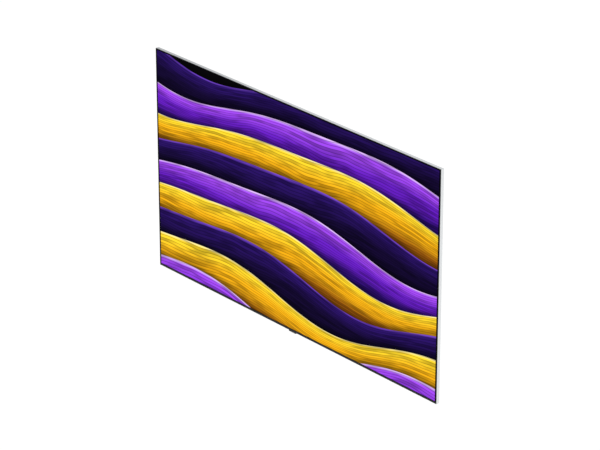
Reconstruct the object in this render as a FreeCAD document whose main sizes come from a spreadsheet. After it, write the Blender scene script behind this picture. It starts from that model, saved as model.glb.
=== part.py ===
import FreeCAD, Part
import math
import os
import re
import Sketcher

# A 65-inch class flat panel television that hangs flat on a wall.
# X runs along the screen's width, Z is up, and the screen faces -Y.
# The origin is the centre of the four wall-mount inserts, on the mounting plane that the
# wall bracket rests on, so Y = 0 is that plane, the glass is at negative Y and the rear
# face at positive Y. All sizes are in millimetres.

DIMENSIONS = {
    # outer size of the frame and the depths in front of and behind the mounting plane
    "panel_width": 1441.0,
    "panel_height": 826.0,
    "front_depth": 14.3,
    "rear_depth": 10.0,
    # the screen's layers
    "glass_thick": 1.2,
    "tape_thick": 0.5,
    "tape_width": 10.0,
    "plate_thick": 1.5,
    "rim_width": 1.8,
    "trim_height": 7.4,
    "layer_gap": 0.1,
    # the aluminium frame bars
    "bar_wall": 1.6,
    "bar_front_flange": 10.0,
    "bar_rear_flange": 12.0,
    "flange_thick": 1.4,
    "bar_rear_inset": 0.3,
    "bar_edge_chamfer": 0.6,
    # corner brackets
    "bracket_arm": 60.0,
    "bracket_width": 9.0,
    "bracket_screw_reach": 45.0,
    "bracket_screw_inset": 5.0,
    # rear cover
    "cover_inset": 9.0,
    "cover_chamfer": 8.0,
    "cover_wall": 2.2,
    "cover_rim": 10.2,
    "cover_fit": 0.25,
    "boss_radius": 4.5,
    "groove_low": -378.0,
    "groove_high": 382.0,
    "groove_pitch": 8.0,
    "groove_width": 1.8,
    "groove_depth": 0.5,
    "cover_seam": 372.0,
    "seam_gap": 0.4,
    "seam_wall": 3.0,
    "vent_low": 286.0,
    "vent_rows": 8.0,
    "vent_length": 46.0,
    "vent_height": 3.0,
    "vent_pitch": 8.0,
    "vent_columns": 12.0,
    "vent_column_pitch": 60.0,
    # wall-mount recess and its structure
    "recess_half": 212.0,
    "mount_half": 200.0,
    "mount_thick": 2.0,
    "mount_foot": 25.0,
    "vesa_pitch": 300.0,
    "pan_screw_sink": 1.3,
    "insert_radius": 7.0,
    "insert_base_radius": 10.0,
    "insert_bore_radius": 2.5,
    "insert_bore_depth": 10.0,
    # electronics
    "board_thick": 1.6,
    "board_standoff": 4.8,
    "thin_board_thick": 1.0,
    "thin_board_standoff": 2.0,
    "board_inner_edge": 232.0,
    "board_outer_edge": 432.0,
    "main_board_low": -226.0,
    "main_board_high": 56.0,
    "power_board_low": -200.0,
    "power_board_high": 120.0,
    "socket_length": 23.0,
    # connection bays
    "bay_length": 129.0,
    "bay_wall": 1.5,
    "bay_floor_front": 9.5,
    "bay_jack_low": -232.0,
    "bay_jack_high": 52.0,
    "bay_power_low": -60.0,
    "bay_power_high": 60.0,
    "lid_gap": 0.2,
    "lid_notch_width": 60.0,
    "lid_notch_height": 14.0,
    # source boards and the flexible ribbons that join them to the glass
    "source_low": 352.0,
    "source_high": 376.0,
    "source_start": 60.0,
    "source_length": 580.0,
    "flex_width": 34.0,
    "flex_pitch": 72.0,
    "flex_count": 8.0,
    "flex_thick": 0.3,
    "flex_slot_low": 395.5,
    "flex_slot_high": 397.5,
    # speakers
    "speaker_length": 200.0,
    "speaker_height": 48.0,
    "speaker_depth": 16.0,
    "speaker_centre": 500.0,
    "speaker_low": -392.0,
    "woofer_centre": 237.0,
    "woofer_length": 172.0,
    "woofer_height": 84.0,
    "woofer_low": -390.0,
    # control housing under the bottom edge
    "housing_width": 37.0,
    "housing_depth": 12.0,
    "housing_height": 6.0,
    "housing_setback": 3.0,
    "housing_wall": 1.2,
    "button_radius": 4.0,
    "button_clearance": 0.08,
    "button_proud": 0.9,
    "button_travel": 0.8,
    "switch_travel": 2.4,
}

doc = FreeCAD.newDocument("FlatPanelTelevision")
sheet = doc.addObject("Spreadsheet::Sheet", "Dims")
for row, (alias, size) in enumerate(DIMENSIONS.items(), start=1):
    sheet.set(f"A{row}", alias)
    sheet.set(f"B{row}", str(size))
    sheet.setAlias(f"B{row}", alias)
doc.recompute()

ALIASES = re.compile(r"\b(" + "|".join(DIMENSIONS) + r")\b")
FAR_CUT = "40"
NORMAL_IS_POSITIVE = {"XY_Plane": True, "YZ_Plane": True, "XZ_Plane": False}

# levels along Y, front to rear
FRONT = "-front_depth"
GLASS_REAR = "-front_depth + glass_thick"
PLATE_FRONT = "-front_depth + glass_thick + tape_thick"
PLATE_REAR = "-front_depth + glass_thick + tape_thick + plate_thick"
BAR_REAR = "-bar_rear_inset"
BOARD_FRONT = f"{PLATE_REAR} + board_standoff"
BOARD_REAR = f"{BOARD_FRONT} + board_thick"
THIN_FRONT = f"{PLATE_REAR} + thin_board_standoff"
THIN_REAR = f"{THIN_FRONT} + thin_board_thick"
COVER_REAR = "rear_depth"
COVER_INNER = "rear_depth - cover_wall"

# half sizes across the screen
HALF_WIDTH = "panel_width / 2"
HALF_HEIGHT = "panel_height / 2"
GLASS_HALF = "panel_width / 2 - rim_width - layer_gap"
GLASS_HIGH = "panel_height / 2 - rim_width - layer_gap"
GLASS_LOW = "-panel_height / 2 + trim_height + layer_gap"

parts = []


def bound(text):
    """Return an expression in which every alias names its cell of the sheet."""
    return ALIASES.sub(r"Dims.\1", str(text))


def both_ways(sign, near, far):
    """Return the low and high ends of a span that lies on the positive or negative side."""
    if sign > 0:
        return near, far
    return f"-({far})", f"-({near})"


def rectangle(low_x, high_x, low_y, high_y):
    """Return the four corners of a rectangle, counter-clockwise."""
    return [(low_x, low_y), (high_x, low_y), (high_x, high_y), (low_x, high_y)]


def centred(x, y, width, height):
    """Return the four corners of a rectangle about a centre."""
    return rectangle(f"{x} - ({width}) / 2", f"{x} + ({width}) / 2",
                     f"{y} - ({height}) / 2", f"{y} + ({height}) / 2")


class Piece:
    """One sub-part: a PartDesign body whose sketches lie on its own origin planes."""

    def __init__(self, label):
        self.body = doc.addObject("PartDesign::Body", label)
        self.body.Label = label
        self.body.AllowCompound = True
        parts.append(self.body)

    def sketch(self, role, level):
        """Add an empty sketch on an origin plane, moved to the level along that plane's axis."""
        new = self.body.newObject("Sketcher::SketchObject", "Sketch")
        plane = next(item for item in self.body.Origin.OriginFeatures if item.Role == role)
        new.AttachmentSupport = [(plane, "")]
        new.MapMode = "FlatFace"
        direction = "" if NORMAL_IS_POSITIVE[role] else "-"
        new.setExpression("AttachmentOffset.Base.z", bound(f"{direction}({level})"))
        return new

    def outline(self, role, level, *loops):
        """Sketch closed polygons, each given by the expressions of its corners."""
        new = self.sketch(role, level)
        for loop in loops:
            first = new.GeometryCount
            count = len(loop)
            for index in range(count):
                start = FreeCAD.Vector(index, index * index, 0)
                end = FreeCAD.Vector((index + 1) % count, ((index + 1) % count) ** 2, 0)
                new.addGeometry(Part.LineSegment(start, end), False)
            for index, (x, y) in enumerate(loop):
                line = first + index
                following = first + (index + 1) % count
                new.addConstraint(Sketcher.Constraint("Coincident", line, 2, following, 1))
                self.fix(new, "DistanceX", line, 1, x)
                self.fix(new, "DistanceY", line, 1, y)
        return new

    def circles(self, role, level, radius, places):
        """Sketch equal circles about the places."""
        new = self.sketch(role, level)
        for x, y in places:
            centre = FreeCAD.Vector(new.GeometryCount * 3, 0, 0)
            index = new.addGeometry(Part.Circle(centre, FreeCAD.Vector(0, 0, 1), 1.0), False)
            size = new.addConstraint(Sketcher.Constraint("Radius", index, 1.0))
            new.setExpression(f"Constraints[{size}]", bound(radius))
            self.fix(new, "DistanceX", index, 3, x)
            self.fix(new, "DistanceY", index, 3, y)
        return new

    def fix(self, sketch, kind, geometry, point, distance):
        """Hold a point of the sketch at a distance from the sketch's origin."""
        constraint = Sketcher.Constraint(kind, -1, 1, geometry, point, 1.0)
        number = sketch.addConstraint(constraint)
        sketch.setExpression(f"Constraints[{number}]", bound(distance))

    def extrude(self, kind, sketch, length, reverse):
        feature = self.body.newObject(kind, kind.split("::")[1])
        feature.Profile = sketch
        feature.setExpression("Length", bound(length))
        feature.Reversed = reverse
        self.body.Tip = feature
        doc.recompute()
        return feature

    def pad(self, sketch, length, forward=True):
        """Add material from the sketch, towards the positive axis if forward."""
        role = sketch.AttachmentSupport[0][0].Role
        return self.extrude("PartDesign::Pad", sketch, length,
                            forward != NORMAL_IS_POSITIVE[role])

    def pocket(self, sketch, length, forward=True):
        """Cut from the sketch, towards the positive axis if forward, and check that it cuts."""
        role = sketch.AttachmentSupport[0][0].Role
        before = self.body.Shape.Volume
        feature = self.extrude("PartDesign::Pocket", sketch, length,
                               forward == NORMAL_IS_POSITIVE[role])
        if self.body.Shape.Volume > before - 0.01:
            raise RuntimeError(f"a pocket of {self.body.Label} cuts nothing")
        return feature

    def repeat(self, features, role, step, count, forward=True):
        """Repeat features along one of the body's own axes, towards its positive end if forward."""
        axis = next(item for item in self.body.Origin.OriginFeatures if item.Role == role)
        pattern = self.body.newObject("PartDesign::LinearPattern", "Pattern")
        pattern.Originals = features
        pattern.Direction = (axis, [""])
        pattern.setExpression("Length", bound(f"({step}) * (({count}) - 1)"))
        pattern.setExpression("Occurrences", bound(count))
        pattern.Reversed = not forward
        self.body.Tip = pattern
        doc.recompute()
        return pattern

    def chamfer(self, size, wanted):
        """Chamfer the edges of the body for which the test is true."""
        tip = self.body.Tip
        names = [f"Edge{number}" for number, edge in enumerate(tip.Shape.Edges, start=1)
                 if wanted(edge)]
        feature = self.body.newObject("PartDesign::Chamfer", "Chamfer")
        feature.Base = (tip, names)
        feature.setExpression("Size", bound(size))
        self.body.Tip = feature
        doc.recompute()

    def fillet(self, size, wanted):
        """Round the edges of the body for which the test is true."""
        tip = self.body.Tip
        names = [f"Edge{number}" for number, edge in enumerate(tip.Shape.Edges, start=1)
                 if wanted(edge)]
        feature = self.body.newObject("PartDesign::Fillet", "Fillet")
        feature.Base = (tip, names)
        feature.setExpression("Radius", bound(size))
        self.body.Tip = feature
        doc.recompute()


def level_edge(axis, value):
    """Return a test for edges that lie wholly at one value of x, y or z."""
    def test(edge):
        return all(abs(getattr(vertex.Point, axis) - value) < 0.001
                   for vertex in edge.Vertexes) and len(edge.Vertexes) == 2
    return test


def number(alias):
    """Return a cell of the sheet as a number."""
    return float(sheet.get(alias))


def block(label, low_x, high_x, low_y, high_y, low_z, high_z):
    """Return a plain block between two levels on each axis."""
    piece = Piece(label)
    face = piece.outline("XZ_Plane", low_y, rectangle(low_x, high_x, low_z, high_z))
    piece.pad(face, f"({high_y}) - ({low_y})")
    return piece


def screws(label, seats):
    """Return one node of pan-head screws that are driven forward through their seats.

    Each seat is (level along Y, shank radius, shank length, places)."""
    piece = Piece(label)
    for seat, radius, length, places in seats:
        shanks = piece.circles("XZ_Plane", seat, radius, places)
        piece.pad(shanks, length, forward=False)
        heads = piece.circles("XZ_Plane", seat, f"{radius} * 1.9", places)
        piece.pad(heads, f"{radius} * 0.85")
        drives = piece.circles("XZ_Plane", f"{seat} + {radius} * 0.85", f"{radius} * 0.7", places)
        piece.pocket(drives, f"{radius} * 0.55", forward=False)
    return piece


# ---------------------------------------------------------------- screen layers

def display_glass():
    block("display_glass", f"-({GLASS_HALF})", GLASS_HALF, FRONT, GLASS_REAR,
          GLASS_LOW, GLASS_HIGH)


def panel_foam_tape():
    tape = Piece("panel_foam_tape")
    inner = "tape_width"
    ring = tape.outline(
        "XZ_Plane", GLASS_REAR,
        rectangle(f"-({GLASS_HALF})", GLASS_HALF, GLASS_LOW, GLASS_HIGH),
        rectangle(f"-({GLASS_HALF}) + {inner}", f"{GLASS_HALF} - {inner}",
                  f"{GLASS_LOW} + {inner}", f"{GLASS_HIGH} - {inner}"))
    tape.pad(ring, "tape_thick")


def support_plate():
    plate = Piece("support_plate")
    edge = "bar_wall + layer_gap * 3"
    face = plate.outline(
        "XZ_Plane", PLATE_FRONT,
        rectangle(f"-panel_width / 2 + {edge}", f"panel_width / 2 - ({edge})",
                  f"-panel_height / 2 + {edge}", f"panel_height / 2 - ({edge})"))
    plate.pad(face, "plate_thick")
    slots = []
    for sign in (-1, 1):
        slots += [centred(f"{sign} * (source_start + flex_pitch * ({index} + 0.5))",
                          "(flex_slot_low + flex_slot_high) / 2",
                          "flex_width + 2", "flex_slot_high - flex_slot_low")
                  for index in range(int(number("flex_count")))]
    openings = plate.outline("XZ_Plane", PLATE_REAR, *slots)
    plate.pocket(openings, "plate_thick", forward=False)


def edge_rim():
    rim = Piece("edge_rim")
    low = "-panel_height / 2 + trim_height"
    inner_x = "panel_width / 2 - rim_width"
    inner_z = "panel_height / 2 - rim_width"
    band = rim.outline("XZ_Plane", FRONT, [
        (f"-({HALF_WIDTH})", low), (f"-({HALF_WIDTH})", HALF_HEIGHT),
        (HALF_WIDTH, HALF_HEIGHT), (HALF_WIDTH, low),
        (inner_x, low), (inner_x, inner_z), (f"-({inner_x})", inner_z), (f"-({inner_x})", low)])
    rim.pad(band, "glass_thick")


def lower_trim():
    trim = Piece("lower_trim")
    low = f"-({HALF_HEIGHT})"
    high = f"-({HALF_HEIGHT}) + trim_height"
    step_low = f"{low} + bar_wall + 0.3"
    step_high = f"{high} - 0.3"
    face = trim.outline("XZ_Plane", FRONT,
                        rectangle(f"-({HALF_WIDTH})", HALF_WIDTH, low, high))
    trim.pad(face, "glass_thick")
    reach = f"{HALF_WIDTH} - bar_wall - 0.3"
    step = trim.outline("XZ_Plane", GLASS_REAR,
                        rectangle(f"-({reach})", reach, step_low, step_high))
    trim.pad(step, "tape_thick")


# ---------------------------------------------------------------- frame

def bar_section(half):
    """Corners of a frame bar's C section as (depth, distance from the centre)."""
    wall = f"{half} - bar_wall"
    front_tip = f"{half} - bar_front_flange"
    rear_tip = f"{half} - bar_rear_flange"
    flange_rear = f"{PLATE_REAR} + flange_thick"
    return [
        (GLASS_REAR, half), (f"{BAR_REAR} - bar_edge_chamfer", half),
        (BAR_REAR, f"{half} - bar_edge_chamfer"), (BAR_REAR, rear_tip),
        (f"{BAR_REAR} - flange_thick", rear_tip), (f"{BAR_REAR} - flange_thick", wall),
        (flange_rear, wall), (flange_rear, front_tip), (PLATE_REAR, front_tip),
        (PLATE_REAR, wall), (GLASS_REAR, wall)]


def frame_bar(label, along_x, sign):
    """Return one mitred bar of the frame, with the holes for its two corner screws."""
    bar = Piece(label)
    half = HALF_HEIGHT if along_x else HALF_WIDTH
    reach = HALF_WIDTH if along_x else HALF_HEIGHT
    corners = [(depth, f"{sign} * ({out})") for depth, out in bar_section(half)]
    if along_x:
        section = bar.outline("YZ_Plane", f"-({reach})", corners)
    else:
        section = bar.outline("XY_Plane", f"-({reach})", [(out, depth) for depth, out in corners])
    bar.pad(section, f"2 * ({reach})")
    for end in (-1, 1):
        tip = (f"{end} * ({reach})", f"{sign} * ({half})")
        far = (f"{end} * ({reach} + 5)", f"{sign} * ({half} - 20)")
        near = (f"{end} * ({reach} - 20)", f"{sign} * ({half} - 20)")
        mitre = [tip, (far[0], tip[1]), far, near]
        if not along_x:
            mitre = [(across, along) for along, across in mitre]
        cut = bar.outline("XZ_Plane", FRONT, mitre)
        bar.pocket(cut, FAR_CUT)
    along = f"{reach} - bracket_screw_reach"
    across = f"{sign} * ({half} - bracket_screw_inset)"
    places = [(f"-({along})", across), (along, across)]
    if not along_x:
        places = [(y, x) for x, y in places]
    holes = bar.circles("XZ_Plane", BAR_REAR, 1.6, places)
    bar.pocket(holes, "flange_thick", forward=False)
    return bar


def bottom_frame_bar():
    """The bottom bar also has the speakers' sound slots and the holes under the housing."""
    bar = frame_bar("bottom_frame_bar", True, -1)
    wall_low = f"-({HALF_HEIGHT})"
    for sign in (-1, 1):
        slots = [centred(f"{sign} * speaker_centre + {index * 14 - 70}", "-5.8", 10, 3)
                 for index in range(11)]
        cut = bar.outline("XY_Plane", wall_low, *slots)
        bar.pocket(cut, "bar_wall")
    holes = bar.circles("XY_Plane", wall_low, 1.1, housing_screw_places())
    bar.pocket(holes, "bar_wall")


def bracket_screw_places(sign_x, sign_z):
    """The two screws of one corner, as (x, z)."""
    return [(f"{sign_x} * (panel_width / 2 - bracket_screw_reach)",
             f"{sign_z} * (panel_height / 2 - bracket_screw_inset)"),
            (f"{sign_x} * (panel_width / 2 - bracket_screw_inset)",
             f"{sign_z} * (panel_height / 2 - bracket_screw_reach)")]


CORNERS = [(x, z) for x in (-1, 1) for z in (-1, 1)]


def corner_brackets():
    """Four die-cast angles inside the frame's channel."""
    brackets = Piece("corner_brackets")
    front = f"{PLATE_REAR} + flange_thick"
    depth = f"({BAR_REAR} - flange_thick) - ({front})"
    loops = []
    places = []
    for sign_x, sign_z in CORNERS:
        out_x = f"panel_width / 2 - bar_wall - layer_gap"
        out_z = f"panel_height / 2 - bar_wall - layer_gap"
        corners = [(out_x, out_z), (f"{out_x} - bracket_arm", out_z),
                   (f"{out_x} - bracket_arm", f"{out_z} - bracket_width"),
                   (f"{out_x} - bracket_width", f"{out_z} - bracket_width"),
                   (f"{out_x} - bracket_width", f"{out_z} - bracket_arm"),
                   (out_x, f"{out_z} - bracket_arm")]
        loops.append([(f"{sign_x} * ({x})", f"{sign_z} * ({z})") for x, z in corners])
        places += bracket_screw_places(sign_x, sign_z)
    face = brackets.outline("XZ_Plane", front, *loops)
    brackets.pad(face, depth)
    holes = brackets.circles("XZ_Plane", f"{BAR_REAR} - flange_thick", 1.3, places)
    brackets.pocket(holes, 6, forward=False)


def corner_screws():
    places = []
    for sign_x, sign_z in CORNERS:
        places += bracket_screw_places(sign_x, sign_z)
    screws("corner_screws", [(BAR_REAR, 1.25, 6, places)])


# ---------------------------------------------------------------- rear cover

COVER_SCREWS = [(x, z) for x in (-680, -340, 0, 340, 680) for z in (-385, 385)]
COVER_SCREWS += [(x, z) for x in (-680, 680) for z in (-130, 130)]
COVER_SCREWS += [(x, z) for x in (-228, 228) for z in (-240, 240)]
COVER_SCREWS += [(x, z) for x in (-380, 380) for z in (-385, -300, 300)]
COVER_SCREWS += [(x, 385) for x in (-415, 415)]

BAYS = {
    "jack": (1, "bay_jack_low", "bay_jack_high"),
    "power": (-1, "bay_power_low", "bay_power_high"),
}


def bay_window(name, gap):
    """The rectangle that a connection bay takes in the rear cover, widened by a gap."""
    sign, low, high = BAYS[name]
    near, far = both_ways(sign, f"board_outer_edge - ({gap})",
                          f"board_outer_edge + bay_length + ({gap})")
    return rectangle(near, far, f"{low} - ({gap})", f"{high} + ({gap})")


def cut_grooves(piece, low_x, high_x, low_z, high_z):
    """Cut the fine level grooves of the rear face that lie between two heights."""
    pitch = number("groove_pitch")
    first = math.ceil((max(low_z, number("groove_low")) - number("groove_low")) / pitch)
    last = math.floor((min(high_z, number("groove_high")) - number("groove_low")) / pitch)
    line = piece.outline("XZ_Plane", COVER_REAR, centred(
        f"(({low_x}) + ({high_x})) / 2", f"groove_low + groove_pitch * {first}",
        f"({high_x}) - ({low_x}) + 2", "groove_width"))
    cut = piece.pocket(line, "groove_depth", forward=False)
    piece.repeat([cut], "Z_Axis", "groove_pitch", last - first + 1)


def cover_panel(label, low_x, high_x, open_left, open_right, inside, windows):
    """One moulded panel of the rear cover, with chamfers on the set's outer edges only."""
    cover = Piece(label)
    half_z = "panel_height / 2 - cover_inset"
    face = cover.outline("XZ_Plane", BAR_REAR,
                         rectangle(low_x, high_x, f"-({half_z})", half_z))
    cover.pad(face, "rear_depth + bar_rear_inset")
    box = cover.body.Shape.BoundBox
    seams = [end for end, seam in ((box.XMin, not open_left), (box.XMax, not open_right)) if seam]
    rear_edge = level_edge("y", number("rear_depth"))
    cover.chamfer("cover_chamfer", lambda edge: rear_edge(edge)
                  and not any(level_edge("x", end)(edge) for end in seams))
    cut_grooves(cover, low_x, high_x, number("groove_low"), number("groove_high"))
    left_wall = "cover_rim" if open_left else "seam_wall"
    right_wall = "cover_rim" if open_right else "seam_wall"
    hollow = cover.outline("XZ_Plane", BAR_REAR, rectangle(
        f"{low_x} + {left_wall}", f"{high_x} - {right_wall}",
        f"-({half_z} - cover_rim)", f"{half_z} - cover_rim"))
    cover.pocket(hollow, f"({COVER_INNER}) - ({BAR_REAR})")
    places = [place for place in COVER_SCREWS if inside(place[0])]
    bosses = cover.circles("XZ_Plane", BAR_REAR, "boss_radius", places)
    cover.pad(bosses, f"({COVER_INNER}) - ({BAR_REAR}) + cover_wall / 2")
    wells = cover.circles("XZ_Plane", COVER_REAR, "boss_radius - 1.3", places)
    cover.pocket(wells, "rear_depth - 2", forward=False)
    shanks = cover.circles("XZ_Plane", COVER_REAR, 1.6, places)
    cover.pocket(shanks, FAR_CUT, forward=False)
    holes = cover.outline("XZ_Plane", COVER_REAR, *windows)
    cover.pocket(holes, FAR_CUT, forward=False)
    return cover


def rear_covers():
    """Three panels: the middle one around the recess, and one around each bay."""
    outer = "panel_width / 2 - cover_inset"
    seam = "cover_seam + seam_gap / 2"
    seam_number = number("cover_seam")
    middle = cover_panel(
        "middle_rear_cover", "-cover_seam + seam_gap / 2", "cover_seam - seam_gap / 2",
        False, False, lambda x: abs(x) < seam_number,
        [rectangle("-recess_half - cover_fit", "recess_half + cover_fit",
                   "-recess_half - cover_fit", "recess_half + cover_fit")])
    slot = middle.outline("XZ_Plane", COVER_REAR, *[
        centred("-vent_column_pitch * (vent_columns - 1) / 2", f"vent_low + vent_pitch * {index}",
                "vent_length", "vent_height") for index in range(int(number("vent_rows")))])
    cut = middle.pocket(slot, "cover_wall + 1", forward=False)
    middle.repeat([cut], "X_Axis", "vent_column_pitch", "vent_columns")
    cover_panel("left_rear_cover", f"-({outer})", f"-({seam})", True, False,
                lambda x: x < -seam_number, [bay_window("power", "cover_fit")])
    cover_panel("right_rear_cover", seam, outer, False, True,
                lambda x: x > seam_number, [bay_window("jack", "cover_fit")])


def cover_standoffs():
    posts = Piece("cover_standoffs")
    rings = posts.circles("XZ_Plane", PLATE_REAR, 3.6, COVER_SCREWS)
    posts.pad(rings, f"({BAR_REAR}) - ({PLATE_REAR})")
    threads = posts.circles("XZ_Plane", BAR_REAR, 1.5, COVER_SCREWS)
    posts.pocket(threads, 9, forward=False)


def cover_screws():
    screws("cover_screws", [(2, 1.45, 9, COVER_SCREWS)])


# ---------------------------------------------------------------- wall mount

VESA_PLACES = [(f"{x} * vesa_pitch / 2", f"{z} * vesa_pitch / 2") for x, z in CORNERS]
PAN_SCREWS = [(x, z) for x in (-185, 0, 185) for z in (-185, 185)]


def mount_pan():
    """The painted steel pan that the wall bracket drops into."""
    pan = Piece("mount_pan")
    face = pan.outline("XZ_Plane", "-cover_wall", rectangle(
        "-recess_half", "recess_half", "-recess_half", "recess_half"))
    pan.pad(face, "cover_wall + rear_depth")
    inner = "recess_half - cover_wall"
    hollow = pan.outline("XZ_Plane", COVER_REAR,
                         rectangle(f"-({inner})", inner, f"-({inner})", inner))
    pan.pocket(hollow, "rear_depth", forward=False)
    holes = pan.circles("XZ_Plane", 0, "insert_radius + 0.2", VESA_PLACES)
    pan.pocket(holes, "cover_wall", forward=False)
    screw_holes = pan.circles("XZ_Plane", 0, 1.6, PAN_SCREWS)
    pan.pocket(screw_holes, "cover_wall", forward=False)
    head_seats = pan.circles("XZ_Plane", 0, 3.0, PAN_SCREWS)
    pan.pocket(head_seats, "pan_screw_sink", forward=False)


def mount_plate():
    """The steel hat that carries the inserts and stands on the support plate."""
    plate = Piece("mount_plate")
    top_front = "-cover_wall - mount_thick"
    foot_rear = f"{PLATE_REAR} + mount_thick"
    outer = "mount_half + mount_foot"
    web = "mount_half"
    inner = "mount_half - mount_thick"
    half = [(outer, PLATE_REAR), (outer, foot_rear), (web, foot_rear), (web, "-cover_wall")]
    inside = [(inner, top_front), (inner, PLATE_REAR)]
    corners = half + [(f"-({x})", y) for x, y in reversed(half)]
    corners += [(f"-({x})", y) for x, y in reversed(inside)]
    corners += inside
    hat = plate.outline("XY_Plane", "-mount_half", corners)
    plate.pad(hat, "2 * mount_half")
    holes = plate.circles("XZ_Plane", "-cover_wall", "insert_radius + 0.1", VESA_PLACES)
    plate.pocket(holes, "mount_thick", forward=False)
    threads = plate.circles("XZ_Plane", "-cover_wall", 1.5, PAN_SCREWS)
    plate.pocket(threads, "mount_thick", forward=False)


def vesa_inserts():
    inserts = Piece("vesa_inserts")
    bases = inserts.circles("XZ_Plane", PLATE_REAR, "insert_base_radius", VESA_PLACES)
    inserts.pad(bases, 2)
    barrels = inserts.circles("XZ_Plane", PLATE_REAR, "insert_radius", VESA_PLACES)
    inserts.pad(barrels, f"-({PLATE_REAR})")
    bores = inserts.circles("XZ_Plane", 0, "insert_bore_radius", VESA_PLACES)
    inserts.pocket(bores, "insert_bore_depth", forward=False)


def pan_screws():
    screws("pan_screws", [("-pan_screw_sink", 1.45, 4, PAN_SCREWS)])


# ---------------------------------------------------------------- connection bays

def bay_tray(name):
    """A tray with a floor and three walls; the socket plate closes its inner side."""
    sign, low, high = BAYS[name]
    tray = Piece(f"{name}_bay_tray")
    start = "board_outer_edge + 1"
    end = "board_outer_edge + bay_length"
    floor_front = "-bay_floor_front"
    near, far = both_ways(sign, start, end)
    base = tray.outline("XZ_Plane", floor_front, rectangle(near, far, low, high))
    tray.pad(base, f"{COVER_INNER} - lid_gap + bay_floor_front")
    near, far = both_ways(sign, f"{start} - 5", f"{end} - bay_wall")
    hollow = tray.outline("XZ_Plane", f"{floor_front} + bay_wall", rectangle(
        near, far, f"{low} + bay_wall", f"{high} - bay_wall"))
    tray.pocket(hollow, FAR_CUT)


def bay_cover(name):
    """The flush lid of a connection bay, with a cable notch and four snap tabs."""
    sign, low, high = BAYS[name]
    lid = Piece(f"{name}_bay_cover")
    near, far = both_ways(sign, "board_outer_edge + lid_gap",
                          "board_outer_edge + bay_length")
    face = lid.outline("XZ_Plane", COVER_INNER, rectangle(near, far, low, high))
    lid.pad(face, "cover_wall")
    middle = f"{sign} * (board_outer_edge + bay_length / 2)"
    notch = lid.outline("XZ_Plane", COVER_INNER, rectangle(
        f"{middle} - lid_notch_width / 2", f"{middle} + lid_notch_width / 2",
        f"{low} - 1", f"{low} + lid_notch_height"))
    lid.pocket(notch, "cover_wall")
    tabs = []
    for x in (30, 100):
        tabs.append(centred(f"{sign} * (board_outer_edge + {x})",
                            f"{high} - bay_wall - 1.2", 8, 1.4))
    for x in (18, 112):
        tabs.append(centred(f"{sign} * (board_outer_edge + {x})",
                            f"{low} + bay_wall + 1.2", 8, 1.4))
    cut_grooves(lid, near, far, number(low) + 2, number(high) - 2)
    prongs = lid.outline("XZ_Plane", COVER_INNER, *tabs)
    lid.pad(prongs, 2, forward=False)


# sockets along the edge of the main board: (centre height, size along Z, size along Y)
HDMI_HEIGHTS = (-45, -70, -95, -120)
USB_HEIGHTS = (35, 12, -11)
LAN_HEIGHT = -150
OPTICAL_HEIGHT = -172
ANTENNA_HEIGHTS = (-194, -214)
SOCKET_FACE = "board_outer_edge + 1"
SOCKET_REAR_END = "board_outer_edge + 1 - socket_length"


def socket_face(z, height, size):
    """A rectangle in the (Y, Z) plane that stands on the board, centred at a height."""
    return rectangle(BOARD_REAR, f"{BOARD_REAR} + {size}",
                     f"{z} - {height} / 2", f"{z} + {height} / 2")


def socket_hollow(z, height, size, total):
    """A rectangle in the (Y, Z) plane in the middle of a socket's face."""
    return rectangle(f"{BOARD_REAR} + ({total} - {size}) / 2",
                     f"{BOARD_REAR} + ({total} + {size}) / 2",
                     f"{z} - {height} / 2", f"{z} + {height} / 2")


def shell_sockets(label, heights, outer, inner, tongue, depth):
    """Rectangular metal-shelled sockets with a contact tongue.

    outer, inner and tongue are (size along Z, size along Y)."""
    sockets = Piece(label)
    shells = sockets.outline("YZ_Plane", SOCKET_REAR_END,
                             *[socket_face(z, *outer) for z in heights])
    sockets.pad(shells, "socket_length")
    mouths = sockets.outline("YZ_Plane", SOCKET_FACE,
                             *[socket_hollow(z, *inner, outer[1]) for z in heights])
    sockets.pocket(mouths, depth, forward=False)
    if tongue:
        tongues = sockets.outline("YZ_Plane", f"{SOCKET_FACE} - {depth}",
                                  *[socket_hollow(z, *tongue, outer[1]) for z in heights])
        sockets.pad(tongues, depth - 1.5)
    return sockets


def signal_sockets():
    shell_sockets("hdmi_sockets", HDMI_HEIGHTS, (15.2, 5.9), (14.0, 4.6), (11.4, 1.4), 12)
    shell_sockets("usb_sockets", USB_HEIGHTS, (13.2, 5.8), (12.3, 4.9), (10.6, 1.8), 12)
    shell_sockets("lan_socket", (LAN_HEIGHT,), (16, 11.5), (11.8, 8.0), None, 14)
    optical = shell_sockets("optical_socket", (OPTICAL_HEIGHT,), (10, 10), (7.4, 7.4), None, 6)
    bore = optical.circles("YZ_Plane", SOCKET_FACE, 1.25, [(f"{BOARD_REAR} + 5", OPTICAL_HEIGHT)])
    optical.pocket(bore, 14, forward=False)


def antenna_sockets():
    sockets = Piece("antenna_sockets")
    blocks = sockets.outline("YZ_Plane", SOCKET_REAR_END,
                             *[socket_face(z, 14, 11) for z in ANTENNA_HEIGHTS])
    sockets.pad(blocks, "socket_length - 1")
    centres = [(f"{BOARD_REAR} + 5.5", z) for z in ANTENNA_HEIGHTS]
    barrels = sockets.circles("YZ_Plane", "board_outer_edge", 4.75, centres)
    sockets.pad(barrels, 11)
    contacts = sockets.circles("YZ_Plane", "board_outer_edge + 11", 0.6, centres)
    sockets.pocket(contacts, 9, forward=False)


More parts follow.
